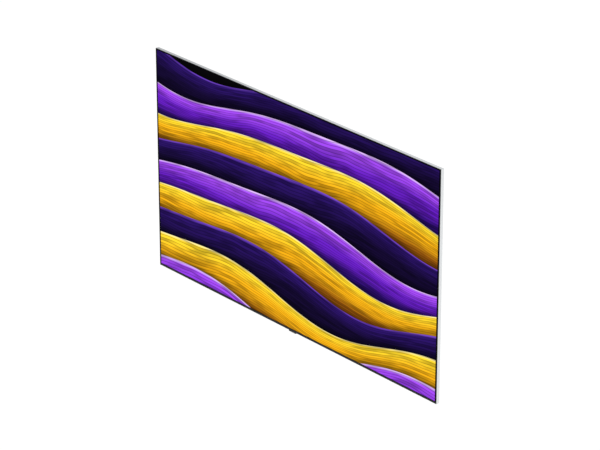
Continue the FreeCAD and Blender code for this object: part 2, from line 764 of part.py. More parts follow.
def jack_plate():
    """The steel plate around the sockets, which also closes the jack bay's inner side."""
    plate = Piece("jack_plate")
    front = "-bay_floor_front"
    rear = f"{COVER_INNER} - lid_gap"
    sheet_face = plate.outline("YZ_Plane", "board_outer_edge",
                               rectangle(front, rear, "bay_jack_low", "bay_jack_high"))
    plate.pad(sheet_face, 1)
    gap = 0.2
    cuts = []
    sizes = [(HDMI_HEIGHTS, 15.2, 5.9), (USB_HEIGHTS, 13.2, 5.8),
             ((LAN_HEIGHT,), 16, 11.5), ((OPTICAL_HEIGHT,), 10, 10)]
    for heights, size_z, size_y in sizes:
        for z in heights:
            cuts.append(rectangle(f"{BOARD_REAR} - {gap}", f"{BOARD_REAR} + {size_y + gap}",
                                  f"{z} - {size_z / 2 + gap}", f"{z} + {size_z / 2 + gap}"))
    openings = plate.outline("YZ_Plane", "board_outer_edge", *cuts)
    plate.pocket(openings, 1)
    rounds = plate.circles("YZ_Plane", "board_outer_edge", 4.9,
                           [(f"{BOARD_REAR} + 5.5", z) for z in ANTENNA_HEIGHTS])
    plate.pocket(rounds, 1)


def mains_inlet():
    """The two-pin figure-eight inlet that faces into the power bay, and its steel plate."""
    inlet = Piece("mains_inlet")
    size_z, size_y = 20, 12
    body_face = inlet.outline("YZ_Plane", f"-({SOCKET_FACE})", socket_face(0, size_z, size_y))
    inlet.pad(body_face, "socket_length + 2")
    mouth = inlet.outline("YZ_Plane", f"-({SOCKET_FACE})",
                          socket_hollow(0, 14.6, 8.4, size_y))
    inlet.pocket(mouth, 13)
    inlet.fillet(2.0, lambda edge: len(edge.Vertexes) == 2
                 and abs(edge.Length - 13) < 0.001)
    pins = inlet.circles("YZ_Plane", f"-({SOCKET_FACE}) + 1.5", 1.2,
                         [(f"{BOARD_REAR} + {size_y / 2}", z) for z in (-4.3, 4.3)])
    inlet.pad(pins, 11.5)
    plate = Piece("inlet_plate")
    wall = plate.outline("YZ_Plane", f"-({SOCKET_FACE})", rectangle(
        "-bay_floor_front", f"{COVER_INNER} - lid_gap", "bay_power_low", "bay_power_high"))
    plate.pad(wall, 1)
    opening = plate.outline("YZ_Plane", f"-({SOCKET_FACE})", rectangle(
        f"{BOARD_REAR} - 0.2", f"{BOARD_REAR} + {size_y + 0.2}",
        f"-{size_z / 2 + 0.2}", f"{size_z / 2 + 0.2}"))
    plate.pocket(opening, 1)


# ---------------------------------------------------------------- electronics

MAIN_HOLES = [(x, z) for x in (240, 400) for z in (-218, 48)]
POWER_HOLES = [(-x, z) for x in (240, 400) for z in (-192, 112)]
TIMING_HOLES = [(x, z) for x in (-98, 98) for z in (238, 272)]
SOURCE_HOLES = [(sign * x, 357) for sign in (-1, 1) for x in (68, 350, 632)]


def board(label, front, thick, low_x, high_x, low_z, high_z, places):
    """A circuit board with its fixing holes."""
    piece = Piece(label)
    face = piece.outline("XZ_Plane", front, rectangle(low_x, high_x, low_z, high_z))
    piece.pad(face, thick)
    holes = piece.circles("XZ_Plane", front, 1.6, places)
    piece.pocket(holes, thick)
    return piece


def components(label, seat, groups):
    """Separate blocks that stand on a board: each group is (height, rectangles)."""
    piece = Piece(label)
    for height, loops in groups:
        faces = piece.outline("XZ_Plane", seat, *loops)
        piece.pad(faces, height)
    return piece


def main_electronics():
    board("main_board", BOARD_FRONT, "board_thick", "board_inner_edge", "board_outer_edge",
          "main_board_low", "main_board_high", MAIN_HOLES)
    components("board_chips", BOARD_REAR, [
        (1.6, [centred(320, -60, 42, 42), centred(276, -60, 14, 18),
               centred(276, -84, 14, 18), centred(320, -112, 18, 14)]),
        (1.2, [centred(268, -150, 16, 12), centred(372, 10, 12, 12),
               centred(300, -180, 20, 14)]),
        (6.0, [centred(250, 30, 8, 40), centred(250, -200, 8, 30)])])
    sink = Piece("main_heat_sink")
    base = sink.outline("XZ_Plane", f"{BOARD_REAR} + 1.6", centred(320, -60, 56, 56))
    sink.pad(base, 2)
    fin = sink.outline("XZ_Plane", f"{BOARD_REAR} + 3.6", centred(320, -86, 56, 1.4))
    tall = sink.pad(fin, 6.4)
    sink.repeat([tall], "Z_Axis", 5.2, 11)
    box = components("wireless_module", PLATE_REAR, [(3.2, [centred(510, 140, 46, 24)])])
    can = box.outline("XZ_Plane", f"{PLATE_REAR} + 3.2", centred(504, 140, 26, 18))
    box.pad(can, 2.2)


def power_electronics():
    board("power_board", BOARD_FRONT, "board_thick", "-board_outer_edge", "-board_inner_edge",
          "power_board_low", "power_board_high", POWER_HOLES)
    coils = Piece("transformers")
    cores = coils.outline("XZ_Plane", BOARD_REAR, centred(-300, 60, 44, 38),
                          centred(-300, -40, 44, 38), centred(-345, -120, 30, 30))
    coils.pad(cores, 11)
    windings = coils.outline("XZ_Plane", BOARD_REAR, centred(-300, 60, 30, 50),
                             centred(-300, -40, 30, 50), centred(-345, -120, 20, 42))
    coils.pad(windings, 9)
    capacitors = Piece("power_capacitors")
    ends = capacitors.circles("YZ_Plane", -424, 5.6,
                              [(f"{BOARD_REAR} + 5.6", z) for z in (50, 64, 78, 92)])
    capacitors.pad(ends, 42)
    low_ends = capacitors.circles("YZ_Plane", -300, 4.8,
                                  [(f"{BOARD_REAR} + 4.8", z) for z in (-150, -138, -126)])
    capacitors.pad(low_ends, 28)
    sinks = Piece("power_heat_sinks")
    webs = sinks.outline("XZ_Plane", BOARD_REAR, centred(-348, 10, 3, 90),
                         centred(-258, 10, 3, 120))
    sinks.pad(webs, 11.5)
    fuses = components("input_filter", BOARD_REAR, [
        (10.0, [centred(-392, -40, 24, 30)]), (6.0, [centred(-395, 30, 20, 6)])])
    return fuses


def timing_electronics():
    board("timing_board", THIN_FRONT, "thin_board_thick", -110, 110, 230, 280, TIMING_HOLES)
    shield = Piece("timing_shield")
    outer = shield.outline("XZ_Plane", THIN_REAR, centred(0, 255, 150, 40))
    shield.pad(outer, 5)
    inner = shield.outline("XZ_Plane", THIN_REAR, centred(0, 255, 148.4, 38.4))
    shield.pocket(inner, 4.4)
    vents = shield.circles("XZ_Plane", f"{THIN_REAR} + 5", 1.5,
                           [(f"-63 + {6 * column}", f"243 + {6 * line}")
                            for column in range(22) for line in range(5)])
    shield.pocket(vents, 2, forward=False)


def source_boards():
    boards = Piece("source_boards")
    spans = [both_ways(sign, "source_start", "source_start + source_length")
             for sign in (-1, 1)]
    faces = boards.outline("XZ_Plane", THIN_FRONT, *[
        rectangle(near, far, "source_low", "source_high") for near, far in spans])
    boards.pad(faces, "thin_board_thick")
    holes = boards.circles("XZ_Plane", THIN_FRONT, 1.6, SOURCE_HOLES)
    boards.pocket(holes, "thin_board_thick")


def panel_flexes():
    """Flexible ribbons from the source boards, through the plate's slots, to the glass."""
    flexes = Piece("panel_flexes")
    turn = "source_high + 1"
    lift = f"{PLATE_REAR} + layer_gap"
    through = "flex_slot_low + 0.5"
    corners = [
        (THIN_REAR, "source_high - 5"), (THIN_REAR, turn), (lift, turn), (lift, through),
        (GLASS_REAR, through), (GLASS_REAR, f"{through} + flex_thick"),
        (f"{lift} + flex_thick", f"{through} + flex_thick"),
        (f"{lift} + flex_thick", f"{turn} + flex_thick"),
        (f"{THIN_REAR} + flex_thick", f"{turn} + flex_thick"),
        (f"{THIN_REAR} + flex_thick", "source_high - 5")]
    for sign in (-1, 1):
        start = f"{sign} * (source_start + flex_pitch * 0.5) - flex_width / 2"
        section = flexes.outline("YZ_Plane", start, corners)
        strip = flexes.pad(section, "flex_width")
        flexes.repeat([strip], "X_Axis", "flex_pitch", "flex_count", forward=sign > 0)


def flat_cables():
    cables = Piece("flat_cables")
    straight = cables.outline("XZ_Plane", THIN_REAR, *[
        rectangle(f"{x} - 16", f"{x} + 16", "278", "source_low + 4") for x in (-89, 89)])
    cables.pad(straight, 0.4)
    bent = cables.outline("XZ_Plane", f"{PLATE_REAR} + 0.3", [
        ("112", "262"), ("112", "246"), ("262", "246"), ("262", "60"), ("284", "60"),
        ("284", "262")])
    cables.pad(bent, 0.4)


def power_harness():
    harness = Piece("power_harness")
    route = harness.outline("XZ_Plane", f"{PLATE_REAR} + 0.3", [
        ("-290", "-204"), ("-290", "-262"), ("290", "-262"), ("290", "-230"),
        ("280", "-230"), ("280", "-252"), ("-280", "-252"), ("-280", "-204")])
    harness.pad(route, 4)


def board_fixings():
    posts = Piece("board_standoffs")
    tall_places = MAIN_HOLES + POWER_HOLES
    tall = posts.circles("XZ_Plane", PLATE_REAR, 3, tall_places)
    posts.pad(tall, "board_standoff")
    thin_places = TIMING_HOLES + SOURCE_HOLES
    thin = posts.circles("XZ_Plane", PLATE_REAR, 3, thin_places)
    posts.pad(thin, "thin_board_standoff")
    threads = posts.circles("XZ_Plane", PLATE_REAR, 1.5, tall_places + thin_places)
    posts.pocket(threads, FAR_CUT)
    screws("board_screws", [(BOARD_REAR, 1.45, 5, tall_places),
                            (THIN_REAR, 1.45, 2.8, thin_places)])


# ---------------------------------------------------------------- speakers

SPEAKER_FRONT = f"{PLATE_REAR} + 0.5"
SPEAKER_REAR = f"{PLATE_REAR} + 0.5 + speaker_depth"
EAR_FRONT = f"{PLATE_REAR} + 3"


def speaker_ear_places(centre, length, low):
    """The fixing holes of a left and right pair of speaker boxes."""
    reach = f"({length}) / 2 + 7"
    return [(f"{sign} * {centre} + {end} * ({reach})", f"{low} + 14")
            for sign in (-1, 1) for end in (-1, 1)]


SPEAKER_EARS = (speaker_ear_places("speaker_centre", "speaker_length", "speaker_low")
                + speaker_ear_places("woofer_centre", "woofer_length", "woofer_low"))


def speaker_boxes(label, centre, length, height, low):
    """A left and right pair of shallow boxes, each with two fixing ears."""
    boxes = Piece(label)
    middle = f"{low} + ({height}) / 2"
    centres = [f"{sign} * {centre}" for sign in (-1, 1)]
    faces = boxes.outline("XZ_Plane", SPEAKER_FRONT,
                          *[centred(x, middle, length, height) for x in centres])
    boxes.pad(faces, "speaker_depth")
    boxes.fillet(4.0, lambda edge: len(edge.Vertexes) == 2
                 and abs(edge.Length - number("speaker_depth")) < 0.001)
    ears = boxes.outline("XZ_Plane", EAR_FRONT, *[
        centred(x, f"{low} + 14", f"{length} + 28", 14) for x in centres])
    boxes.pad(ears, 3)
    holes = boxes.circles("XZ_Plane", EAR_FRONT, 3.6, speaker_ear_places(centre, length, low))
    boxes.pocket(holes, 3)
    return boxes


def speakers():
    tall = speaker_boxes("speakers", "speaker_centre", "speaker_length", "speaker_height",
                         "speaker_low")
    mouths = tall.outline("XY_Plane", "speaker_low", *[
        centred(f"{sign} * speaker_centre", f"{SPEAKER_FRONT} + speaker_depth / 2", 120, 9)
        for sign in (-1, 1)])
    tall.pocket(mouths, 3)
    wide = speaker_boxes("woofers", "woofer_centre", "woofer_length", "woofer_height",
                         "woofer_low")
    centres = [(f"{sign} * woofer_centre", "woofer_low + woofer_height / 2") for sign in (-1, 1)]
    cones = wide.circles("XZ_Plane", SPEAKER_REAR, 32, centres)
    wide.pocket(cones, 2.5, forward=False)
    domes = wide.circles("XZ_Plane", f"{SPEAKER_REAR} - 2.5", 12, centres)
    wide.pad(domes, 1.6)
    cushions = Piece("speaker_cushions")
    rings = cushions.circles("XZ_Plane", PLATE_REAR, 3.5, SPEAKER_EARS)
    cushions.pad(rings, 7)
    bores = cushions.circles("XZ_Plane", PLATE_REAR, 1.7, SPEAKER_EARS)
    cushions.pocket(bores, 7)
    screws("speaker_screws", [(f"{PLATE_REAR} + 7", 1.55, 7, SPEAKER_EARS)])


# ---------------------------------------------------------------- control housing

HOUSING_TOP = "-panel_height / 2"
HOUSING_LOW = "-panel_height / 2 - housing_height"
HOUSING_FRONT = "-front_depth + housing_setback"
HOUSING_MIDDLE = "-front_depth + housing_setback + housing_depth / 2"
SWITCH_PLACE = "10.6"


def housing_screw_places():
    return [(f"{sign} * (housing_width / 2 - 3)", HOUSING_MIDDLE) for sign in (-1, 1)]


def sensor_housing():
    housing = Piece("sensor_housing")
    face = housing.outline("XY_Plane", HOUSING_LOW, centred(
        0, HOUSING_MIDDLE, "housing_width", "housing_depth"))
    housing.pad(face, "housing_height")
    housing.fillet(2.5, lambda edge: len(edge.Vertexes) == 2
                   and abs(edge.Length - number("housing_height")) < 0.001)
    hollow = housing.outline("XY_Plane", HOUSING_TOP, centred(
        0, HOUSING_MIDDLE, "housing_width - 12", "housing_depth - 2 * housing_wall"))
    housing.pocket(hollow, "housing_height - housing_wall", forward=False)
    bore = housing.circles("XY_Plane", HOUSING_LOW, "button_radius + button_clearance",
                           [(0, HOUSING_MIDDLE)])
    housing.pocket(bore, "housing_wall")
    slot = housing.outline("XY_Plane", HOUSING_LOW, centred(
        f"{SWITCH_PLACE} - 2 + switch_travel / 2", HOUSING_MIDDLE, "2.2 + switch_travel", 2.2))
    housing.pocket(slot, "housing_wall")
    threads = housing.circles("XY_Plane", HOUSING_TOP, 0.9, housing_screw_places())
    housing.pocket(threads, 4, forward=False)
    window = housing.outline("XZ_Plane", HOUSING_FRONT, rectangle(
        -8, 8, f"{HOUSING_LOW} + 1.6", f"{HOUSING_LOW} + 4.6"))
    housing.pocket(window, "housing_wall")


def sensor_window():
    block("sensor_window", -8, 8, HOUSING_FRONT, f"{HOUSING_FRONT} + housing_wall",
          f"{HOUSING_LOW} + 1.6", f"{HOUSING_LOW} + 4.6")


def power_button():
    button = Piece("power_button")
    cap = button.circles("XY_Plane", f"{HOUSING_LOW} - button_proud", "button_radius",
                         [(0, HOUSING_MIDDLE)])
    button.pad(cap, "button_proud + housing_wall + 0.6")
    collar = button.circles("XY_Plane", f"{HOUSING_LOW} + housing_wall", "button_radius + 0.6",
                            [(0, HOUSING_MIDDLE)])
    button.pad(collar, 0.6)
    dish = button.circles("XY_Plane", f"{HOUSING_LOW} - button_proud", "button_radius - 1",
                          [(0, HOUSING_MIDDLE)])
    button.pocket(dish, 0.2)


def microphone_switch():
    knob = Piece("microphone_switch")
    centre = f"{SWITCH_PLACE} - 2"
    lever = knob.outline("XY_Plane", f"{HOUSING_LOW} - 0.7", centred(
        centre, HOUSING_MIDDLE, 2, 2))
    knob.pad(lever, "0.7 + housing_wall + 0.2")
    foot = knob.outline("XY_Plane", f"{HOUSING_LOW} + housing_wall + 0.1", centred(
        centre, HOUSING_MIDDLE, 2, 5))
    knob.pad(foot, 0.8)


def sensor_board():
    """The small board over the button, with its push switch."""
    piece = Piece("sensor_board")
    face = piece.outline("XY_Plane", f"{HOUSING_TOP} - 1.1", centred(
        0, HOUSING_MIDDLE, "housing_width - 12.4", "housing_depth - 2 * housing_wall - 0.4"))
    piece.pad(face, 0.9)
    switch = piece.outline("XY_Plane", f"{HOUSING_TOP} - 2.4", centred(0, HOUSING_MIDDLE, 5, 5))
    piece.pad(switch, 1.3)
    plunger_low = f"{HOUSING_LOW} + housing_wall + 0.6 + button_travel + 0.1"
    plunger = piece.circles("XY_Plane", plunger_low, 1.2, [(0, HOUSING_MIDDLE)])
    piece.pad(plunger, f"{HOUSING_TOP} - 2.4 - ({plunger_low})")


def sensor_screws():
    piece = Piece("sensor_screws")
    seat = "-panel_height / 2 + bar_wall"
    shanks = piece.circles("XY_Plane", seat, 0.9, housing_screw_places())
    piece.pad(shanks, 4.5, forward=False)
    heads = piece.circles("XY_Plane", seat, 1.8, housing_screw_places())
    piece.pad(heads, 1.1)


# ---------------------------------------------------------------- assembly

display_glass()
panel_foam_tape()
support_plate()
edge_rim()
lower_trim()
frame_bar("top_frame_bar", True, 1)
bottom_frame_bar()
frame_bar("left_frame_bar", False, -1)
frame_bar("right_frame_bar", False, 1)
corner_brackets()
corner_screws()
rear_covers()
cover_standoffs()
cover_screws()
mount_pan()
mount_plate()
vesa_inserts()
pan_screws()
for bay in BAYS:
    bay_tray(bay)
    bay_cover(bay)
signal_sockets()
antenna_sockets()
jack_plate()
mains_inlet()
main_electronics()
power_electronics()
timing_electronics()
source_boards()
panel_flexes()
flat_cables()
power_harness()
board_fixings()
speakers()
sensor_housing()
sensor_window()
power_button()
microphone_switch()
sensor_board()
sensor_screws()
doc.recompute()

for item in doc.Objects:
    if "Invalid" in item.State or "Error" in item.State:
        raise RuntimeError(f"{item.Label} failed: {item.State}")
for item in parts:
    if item.Shape.isNull() or not item.Shape.isValid():
        raise RuntimeError(f"{item.Label} has no valid shape")

os.makedirs("parts", exist_ok=True)
for item in parts:
    item.Shape.exportStep(f"parts/{item.Label}.step")
    print(item.Label, len(item.Shape.Solids), round(item.Shape.Volume / 1000, 2), "cm3")
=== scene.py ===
import math
import bmesh
import bpy
from mathutils import Matrix, Vector


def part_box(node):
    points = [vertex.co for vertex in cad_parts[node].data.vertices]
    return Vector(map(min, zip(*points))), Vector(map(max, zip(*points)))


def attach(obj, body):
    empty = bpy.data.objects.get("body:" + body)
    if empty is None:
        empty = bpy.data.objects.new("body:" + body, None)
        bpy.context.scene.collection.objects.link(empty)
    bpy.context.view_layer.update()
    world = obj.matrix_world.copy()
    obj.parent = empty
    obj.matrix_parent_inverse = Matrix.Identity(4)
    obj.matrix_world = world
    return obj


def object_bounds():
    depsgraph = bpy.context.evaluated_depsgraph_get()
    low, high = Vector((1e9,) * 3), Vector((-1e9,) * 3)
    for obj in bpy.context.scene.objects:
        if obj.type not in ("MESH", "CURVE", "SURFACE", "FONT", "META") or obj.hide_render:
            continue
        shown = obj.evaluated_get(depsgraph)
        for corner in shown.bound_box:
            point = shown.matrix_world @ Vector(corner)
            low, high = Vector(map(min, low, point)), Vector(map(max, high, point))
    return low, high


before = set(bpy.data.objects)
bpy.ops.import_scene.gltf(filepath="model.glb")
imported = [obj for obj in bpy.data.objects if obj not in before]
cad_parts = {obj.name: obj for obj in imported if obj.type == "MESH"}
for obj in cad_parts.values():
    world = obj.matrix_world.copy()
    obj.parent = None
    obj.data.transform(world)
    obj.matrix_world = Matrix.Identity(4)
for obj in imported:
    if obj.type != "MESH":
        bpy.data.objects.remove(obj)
cad_low, cad_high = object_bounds()

# ------------------------------------------------------------------ the set's own sizes

SET = "television"
GLASS_LOW, GLASS_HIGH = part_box("display_glass")
RIM_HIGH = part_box("edge_rim")[1]
TRIM_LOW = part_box("lower_trim")[0]
FRONT_Y = GLASS_LOW[1]
HALF_WIDTH = RIM_HIGH[0]
TOP_Z = RIM_HIGH[2]
BOTTOM_Z = TRIM_LOW[2]

# ------------------------------------------------------------------ camera, floor and light

CAMERA_AZIMUTH = 49.157
CAMERA_ELEVATION = 23.853
CAMERA_DISTANCE = 10.024
CAMERA_ASIDE = -0.0293
CAMERA_ABOVE = 0.0161
LENS = 179.18

# The set hangs on a wall, so the floor lies far enough down to see the controls from below.
FLOOR_DROP = 7.0
FLOOR_REACH = 80


def direction(azimuth, elevation):
    """The unit vector from the object towards a viewer; azimuth 0 faces the screen."""
    turn, rise = math.radians(azimuth), math.radians(elevation)
    return Vector((math.sin(turn) * math.cos(rise), -math.cos(turn) * math.cos(rise),
                   math.sin(rise)))


def add_camera():
    back = direction(CAMERA_AZIMUTH, CAMERA_ELEVATION)
    right = (-back).cross(Vector((0, 0, 1))).normalized()
    above = right.cross(-back)
    data = bpy.data.cameras.new("camera")
    data.lens = LENS
    data.sensor_width = 36.0
    data.clip_end = 100.0
    camera = bpy.data.objects.new("camera", data)
    bpy.context.scene.collection.objects.link(camera)
    place = (Vector((0, FRONT_Y, 0)) + back * CAMERA_DISTANCE
             - right * CAMERA_ASIDE - above * CAMERA_ABOVE)
    turn = Matrix((right, above, back)).transposed().to_4x4()
    camera.matrix_world = Matrix.Translation(place) @ turn
    bpy.context.scene.camera = camera


def add_light(name, azimuth, elevation, distance, size, power):
    """A soft square light that looks at the object's middle."""
    data = bpy.data.lights.new(name, "AREA")
    data.shape = "SQUARE"
    data.size = size
    data.energy = power
    light = bpy.data.objects.new(name, data)
    bpy.context.scene.collection.objects.link(light)
    back = direction(azimuth, elevation)
    light.location = back * distance
    light.rotation_euler = back.to_track_quat("Z", "Y").to_euler()


def add_stage():
    world = bpy.data.worlds.new("studio")
    world.use_nodes = True
    world.node_tree.nodes["Background"].inputs["Color"].default_value = (1, 1, 1, 1)
    world.node_tree.nodes["Background"].inputs["Strength"].default_value = 1.04
    bpy.context.scene.world = world
    mesh = bpy.data.meshes.new("floor")
    form = bmesh.new()
    bmesh.ops.create_grid(form, x_segments=1, y_segments=1, size=FLOOR_REACH)
    bmesh.ops.translate(form, verts=form.verts, vec=(0, 0, cad_low[2] - FLOOR_DROP))
    form.to_mesh(mesh)
    form.free()
    floor = bpy.data.objects.new("floor", mesh)
    bpy.context.scene.collection.objects.link(floor)
    pale = bpy.data.materials.new("pale_floor")
    pale.use_nodes = True
    shader = pale.node_tree.nodes["Principled BSDF"]
    shader.inputs["Base Color"].default_value = (0.99, 0.99, 0.99, 1)
    shader.inputs["Roughness"].default_value = 0.9
    shader.inputs["Specular IOR Level"].default_value = 0.1
    mesh.materials.append(pale)


# ------------------------------------------------------------------ node helpers

class Graph:
    """Short ways to add nodes to one tree and join them."""

    def __init__(self, tree):
        self.tree = tree

    def add(self, kind, **settings):
        new = self.tree.nodes.new(kind)
        for name, value in settings.items():
            setattr(new, name, value)
        return new

    def feed(self, socket, value):
        """Give an input a number, a colour or another node's output."""
        if isinstance(value, bpy.types.NodeSocket):
            self.tree.links.new(value, socket)
        else:
            socket.default_value = value

    def math(self, operation, first, second=0.0, third=None):
        new = self.add("ShaderNodeMath", operation=operation)
        self.feed(new.inputs[0], first)
        self.feed(new.inputs[1], second)
        if third is not None:
            self.feed(new.inputs[2], third)
        return new.outputs[0]

    def span(self, value, low, high, to_low=0.0, to_high=1.0, smooth=True):
        """Map a value from one span to another, smoothly and clamped."""
        new = self.add("ShaderNodeMapRange",
                       interpolation_type="SMOOTHSTEP" if smooth else "LINEAR")
        for name, number in (("Value", value), ("From Min", low), ("From Max", high),
                             ("To Min", to_low), ("To Max", to_high)):
            self.feed(new.inputs[name], number)
        return new.outputs[0]

    def mix(self, factor, first, second, blend="MIX"):
        new = self.add("ShaderNodeMix", data_type="RGBA", blend_type=blend)
        self.feed(new.inputs["Factor"], factor)
        self.feed(new.inputs[6], first)
        self.feed(new.inputs[7], second)
        return new.outputs[2]

    def ramp(self, factor, stops):
        new = self.add("ShaderNodeValToRGB")
        new.color_ramp.interpolation = "EASE"
        elements = new.color_ramp.elements
        while len(elements) > 1:
            elements.remove(elements[0])
        elements[0].position = stops[0][0]
        elements[0].color = stops[0][1]
        for position, colour in stops[1:]:
            elements.new(position).color = colour
        self.feed(new.inputs[0], factor)
        return new.outputs[0]

    def noise(self, vector, scale, detail=2.0, roughness=0.5):
        new = self.add("ShaderNodeTexNoise")
        self.feed(new.inputs["Vector"], vector)
        self.feed(new.inputs["Scale"], scale)
        new.inputs["Detail"].default_value = detail
        new.inputs["Roughness"].default_value = roughness
        return new.outputs["Fac"]

    def vector(self, x, y, z=0.0):
        new = self.add("ShaderNodeCombineXYZ")
        self.feed(new.inputs[0], x)
        self.feed(new.inputs[1], y)
        self.feed(new.inputs[2], z)
        return new.outputs[0]


def shader_group(name, inputs, outputs):
    """A shader node group with named sockets: (name, kind, default)."""
    tree = bpy.data.node_groups.new(name, "ShaderNodeTree")
    for label, kind, default in inputs:
        socket = tree.interface.new_socket(label, in_out="INPUT", socket_type=kind)
        if default is not None:
            socket.default_value = default
    for label, kind in outputs:
        tree.interface.new_socket(label, in_out="OUTPUT", socket_type=kind)
    graph = Graph(tree)
    return graph, graph.add("NodeGroupInput"), graph.add("NodeGroupOutput")


def tone(code):
    """The linear colour of a six-digit display colour."""
    parts = [int(code[index:index + 2], 16) / 255 for index in (0, 2, 4)]
    return tuple(((part + 0.055) / 1.055) ** 2.4 if part > 0.04045 else part / 12.92
                 for part in parts) + (1.0,)


def stops(*pairs):
    return [(position, tone(code)) for position, code in pairs]


# ------------------------------------------------------------------ the picture on the screen

FULL_TURN = 2 * math.pi
GOLD = stops((0, "FFF1A8"), (.04, "FFD92E"), (.28, "F2AE14"), (.6, "96560C"), (1, "1A0C03"))
VIOLET = stops((0, "E6C4FF"), (.05, "A24AF0"), (.3, "661EC0"), (.6, "300E74"), (1, "080214"))
NIGHT = stops((0, "7446CC"), (.05, "2A1264"), (.4, "130730"), (1, "030206"))
LAYER_TONES = (NIGHT, VIOLET, GOLD, NIGHT, VIOLET, GOLD, NIGHT, GOLD, VIOLET)
# where the first wave starts, how far apart the waves are and how deep, in picture heights
LAYER_START = -0.02
LAYER_STEP = 0.125
LAYER_DEPTH = 0.27
# the turn in radians from one wave to the next, and the threads across each
PHASE_STEP = 0.55
THREADS = 24.0


def wave_group():
    """One level wave of threads, from its crest down to where the next one covers it."""
    graph, given, result = shader_group(
        "wave_layer",
        [("Along", "NodeSocketFloat", 0.5), ("Down", "NodeSocketFloat", 0.5),
         ("Base", "NodeSocketFloat", 0.2), ("Phase", "NodeSocketFloat", 0.0)],
        [("Across", "NodeSocketFloat"), ("Inside", "NodeSocketFloat"),
         ("Thread", "NodeSocketFloat"), ("Shade", "NodeSocketFloat")])
    along, down = given.outputs["Along"], given.outputs["Down"]
    phase = given.outputs["Phase"]
    swell = graph.math("SINE", graph.math("MULTIPLY_ADD", along, FULL_TURN, phase))
    ripple = graph.math("SINE", graph.math("MULTIPLY_ADD", along, FULL_TURN * 1.7,
                                           graph.math("MULTIPLY", phase, 1.9)))
    crest = graph.math("MULTIPLY_ADD", swell, 0.05, given.outputs["Base"])
    crest = graph.math("MULTIPLY_ADD", ripple, 0.018, crest)
    below = graph.math("SUBTRACT", down, crest)
    depth = graph.math("MULTIPLY_ADD", swell, -0.07, LAYER_DEPTH)
    across = graph.math("DIVIDE", below, depth)
    drift = graph.noise(graph.vector(graph.math("MULTIPLY", along, 4.0), across, phase), 1.2, 2.0)
    lane = graph.math("MULTIPLY_ADD", drift, 4.0, graph.math("MULTIPLY", across, THREADS))
    groove = graph.span(graph.math("PINGPONG", lane, 0.5), 0.0, 0.2, 0.45, 1.0)
    number = graph.math("FLOOR", lane)
    streak = graph.noise(graph.vector(graph.math("MULTIPLY", number, 0.37),
                                      graph.math("MULTIPLY", along, 3.0), phase), 3.0, 2.0)
    thread = graph.math("MULTIPLY", groove, graph.span(streak, 0.3, 0.6, 0.6, 1.15))
    for label, value in (("Across", across), ("Inside", graph.span(below, 0.0, 0.002)),
                         ("Thread", thread), ("Shade", graph.span(below, -0.04, 0.0, 1.0, 0.4))):
        graph.feed(result.inputs[label], value)
    return graph.tree


def picture_group():
    """The screen's picture: plain level waves, one behind the other."""
    wave = wave_group()
    graph, given, result = shader_group(
        "screen_picture", [("Vector", "NodeSocketVector", None)],
        [("Color", "NodeSocketColor")])
    parts = graph.add("ShaderNodeSeparateXYZ")
    graph.feed(parts.inputs[0], given.outputs["Vector"])
    aside = graph.span(parts.outputs["X"], -HALF_WIDTH, HALF_WIDTH, smooth=False)
    down = graph.span(parts.outputs["Z"], TOP_Z, BOTTOM_Z, smooth=False)
    colour = tone("050407")
    for index, tones in enumerate(LAYER_TONES):
        layer = graph.add("ShaderNodeGroup", node_tree=wave)
        for label, value in (("Along", aside), ("Down", down),
                             ("Base", index * LAYER_STEP + LAYER_START),
                             ("Phase", index * PHASE_STEP)):
            graph.feed(layer.inputs[label], value)
        fill = graph.ramp(layer.outputs["Across"], tones)
        thread = layer.outputs["Thread"]
        fill = graph.mix(1.0, fill, graph.vector(thread, thread, thread), "MULTIPLY")
        shade = layer.outputs["Shade"]
        under = graph.mix(1.0, colour, graph.vector(shade, shade, shade), "MULTIPLY")
        colour = graph.mix(layer.outputs["Inside"], under, fill)
    graph.feed(result.inputs["Color"], colour)
    return graph.tree


def new_material(name):
    material = bpy.data.materials.new(name)
    material.use_nodes = True
    graph = Graph(material.node_tree)
    shader = material.node_tree.nodes["Principled BSDF"]
    place = graph.add("ShaderNodeTexCoord").outputs["Object"]
    return material, graph, shader, place


# widths of the unlit border of the glass: beside, above and below the picture
SCREEN_BORDER = 0.0052
SCREEN_HEAD = 0.0037
SCREEN_FOOT = 0.0018
FACE_DEPTH = 0.0003


def screen_material():
    """Dark anti-reflective glass with the picture lit behind it, inside a black border."""
    material, graph, shader, place = new_material("lit_screen")
    picture = graph.add("ShaderNodeGroup", node_tree=picture_group())
    graph.feed(picture.inputs["Vector"], place)
    parts = graph.add("ShaderNodeSeparateXYZ")
    graph.feed(parts.inputs[0], place)
    beside = graph.math("ABSOLUTE", parts.outputs["X"])
    lit = graph.math("LESS_THAN", beside, GLASS_HIGH[0] - SCREEN_BORDER)
    lit_top = graph.math("LESS_THAN", parts.outputs["Z"], GLASS_HIGH[2] - SCREEN_HEAD)
    lit_foot = graph.math("GREATER_THAN", parts.outputs["Z"], GLASS_LOW[2] + SCREEN_FOOT)
    face = graph.math("LESS_THAN", parts.outputs["Y"], FRONT_Y + FACE_DEPTH)
    for mask in (lit_top, lit_foot, face):
        lit = graph.math("MULTIPLY", lit, mask)
    graph.feed(shader.inputs["Emission Color"],
               graph.mix(lit, (0, 0, 0, 1), picture.outputs["Color"]))
    shader.inputs["Emission Strength"].default_value = 1.0
    shader.inputs["Base Color"].default_value = (0.0004, 0.0004, 0.00045, 1)
    shader.inputs["Specular IOR Level"].default_value = 0.003
    haze = graph.noise(place, 900.0, 1.0)
    graph.feed(shader.inputs["Roughness"], graph.span(haze, 0.3, 0.7, 0.16, 0.22))
    return material


# ------------------------------------------------------------------ finishes

